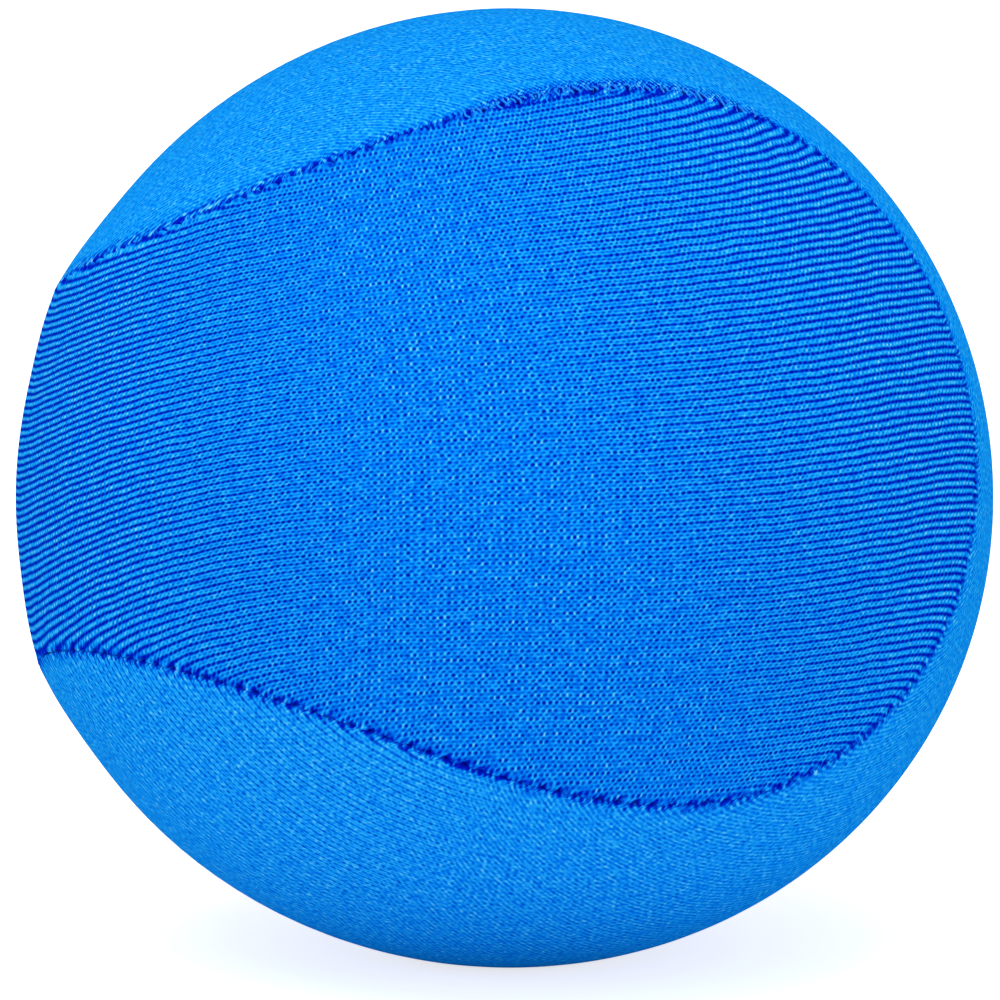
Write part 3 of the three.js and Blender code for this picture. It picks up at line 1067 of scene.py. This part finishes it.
@dataclass
class Studio:
    """The pale floor, the soft lights and the camera round the ball."""

    form: BallForm

    def floor(self) -> None:
        """Adds the floor and dresses it so that it shows white and keeps the ball's shadow."""
        bpy.ops.mesh.primitive_plane_add(size=6.0, location=(0, 0, 0))
        floor = bpy.context.object
        floor.name = "studio_floor"
        recipe = Recipe("floor_pale")
        card = recipe.node("ShaderNodeBsdfDiffuse", Color=FLOOR_GREY)
        glow = recipe.node("ShaderNodeEmission", Color=WHITE, Strength=FLOOR_GLOW)
        both = recipe.node("ShaderNodeAddShader", in0=card, in1=glow)
        seen = recipe.node("ShaderNodeLightPath", output="Is Camera Ray")
        recipe.node_output(recipe.node("ShaderNodeMixShader", in0=seen, in1=card, in2=both))
        floor.data.materials.append(recipe.material)

    def world(self) -> None:
        """Sets the pale surroundings, which the camera and mirrors see as white."""
        world = bpy.data.worlds.new("studio_world")
        bpy.context.scene.world = world
        world.use_nodes = True
        tree = world.node_tree
        tree.nodes.clear()
        path = tree.nodes.new("ShaderNodeLightPath")
        plain, white, mix, output = (tree.nodes.new(kind) for kind in (
            "ShaderNodeBackground", "ShaderNodeBackground", "ShaderNodeMixShader", "ShaderNodeOutputWorld"))
        for background, strength in ((plain, SURROUNDINGS), (white, 1.0)):
            background.inputs["Color"].default_value = WHITE
            background.inputs["Strength"].default_value = strength
        camera, glossy, clear = (
            Shade(tree, path.outputs[f"Is {ray} Ray"]) for ray in ("Camera", "Glossy", "Transmission"))
        tree.links.new((camera + glossy + clear).clipped().socket, mix.inputs[0])
        tree.links.new(plain.outputs[0], mix.inputs[1])
        tree.links.new(white.outputs[0], mix.inputs[2])
        tree.links.new(mix.outputs[0], output.inputs["Surface"])

    def light(self, name: str, place: tuple[float, float, float], size: float, power: float) -> None:
        """Adds a soft square light that faces the ball.

        Args:
            name: The light's name.
            place: Where it hangs, in metres from the ball's middle.
            size: The length of its side in metres.
            power: Its power in watts.
        """
        data = bpy.data.lights.new(name, "AREA")
        data.size = size
        data.energy = power
        lamp = bpy.data.objects.new(name, data)
        bpy.context.scene.collection.objects.link(lamp)
        lamp.location = np.array([0.0, 0.0, self.form.middle * MM]) + np.array(place)
        lamp.rotation_mode = "QUATERNION"
        lamp.rotation_quaternion = (-Vector(place)).to_track_quat("-Z", "Y")
        lamp.visible_camera = False

    def camera(self) -> None:
        """Adds the camera at the photograph's angle, distance and framing."""
        radius = self.form.radius * MM
        distance = CAMERA_DISTANCE_IN_RADII * radius
        pixels_per_metre = PHOTO_PIXELS_PER_MM / MM * math.sqrt(1 - (radius / distance) ** 2)
        data = bpy.data.cameras.new("view")
        data.sensor_width = SENSOR_WIDTH_MM
        data.lens = SENSOR_WIDTH_MM * distance * pixels_per_metre / PHOTO_PIXELS
        data.shift_x, data.shift_y = (shift / PHOTO_PIXELS for shift in PHOTO_SHIFT_PIXELS)
        data.clip_start, data.clip_end = 0.05, 20.0
        camera = bpy.data.objects.new("view", data)
        bpy.context.scene.collection.objects.link(camera)
        elevation = math.radians(CAMERA_ELEVATION_DEGREES)
        back = Vector((0.0, -math.cos(elevation), math.sin(elevation)))
        camera.location = Vector((0, 0, self.form.middle * MM)) + back * distance
        camera.rotation_mode = "QUATERNION"
        camera.rotation_quaternion = (-back).to_track_quat("-Z", "Y")
        bpy.context.scene.camera = camera

    def build(self) -> None:
        """Builds the whole studio."""
        self.floor()
        self.world()
        for lamp in LAMPS:
            self.light(*lamp)
        self.camera()
        bpy.context.scene.view_settings.view_transform = "Standard"


def dress(piece: Piece, material: bpy.types.Material, slot: str, *nodes: str) -> Piece:
    """Gives a piece its material and body, and hides the nodes that it stands for.

    Args:
        piece: The piece.
        material: Its material.
        slot: Not used.
        *nodes: The CAD nodes that it replaces.

    Returns:
        The same piece.
    """
    piece.data.materials.append(material)
    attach(piece, "root")
    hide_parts(*nodes)
    LOG.info("%s: %d faces, stands for %s", piece.name, len(piece.data.polygons), ", ".join(nodes))
    return piece


def main() -> None:
    """Builds the ball's pieces in order, then the studio."""
    logging.basicConfig(level=logging.INFO, format="%(name)s: %(message)s")
    form = BallForm()
    seam = SeamLine(form)
    cover = CoverForm()
    stitching = Stitching(cover)
    sewing = ThreadFinish("sewing_thread_blue", (0.02, 0.17, 0.72), (0.0, 0.05, 0.42)).material()
    hand = ThreadFinish("closing_thread_blue", (0.02, 0.34, 0.95), (0.0, 0.12, 0.70)).material()
    front = Panel(PanelSide.FRONT, seam, cover, stitching, FRONT_PUCKERS, FRONT_GRAIN)
    back = Panel(PanelSide.BACK, seam, cover, stitching, BACK_PUCKERS, BACK_GRAIN)
    core = GelCore(seam, cover).build([front, back])
    dress(core, GelFinish().material(), "gel", "gel_core")
    for panel, finish, name, node, area in ((front, FRONT_KNIT, "front_panel_knit", "front_panel", 0.0049),
                                            (back, BACK_KNIT, "back_panel_knit", "back_panel", 0.0057)):
        piece = dress(panel.build(name), finish.material(), "cover_knit", node)
    threads = SeamThreads(seam, cover)
    dress(threads.needle(), sewing, "sewing_thread", "needle_thread")
    dress(threads.looper(1, "upper_looper_line"), sewing, "sewing_thread", "upper_looper_thread")
    dress(threads.looper(-1, "lower_looper_line"), sewing, "sewing_thread", "lower_looper_thread")
    dress(threads.closing(), hand, "closing_thread", "closing_thread")
    Studio(form).build()


if __name__ == "__main__":
    main()
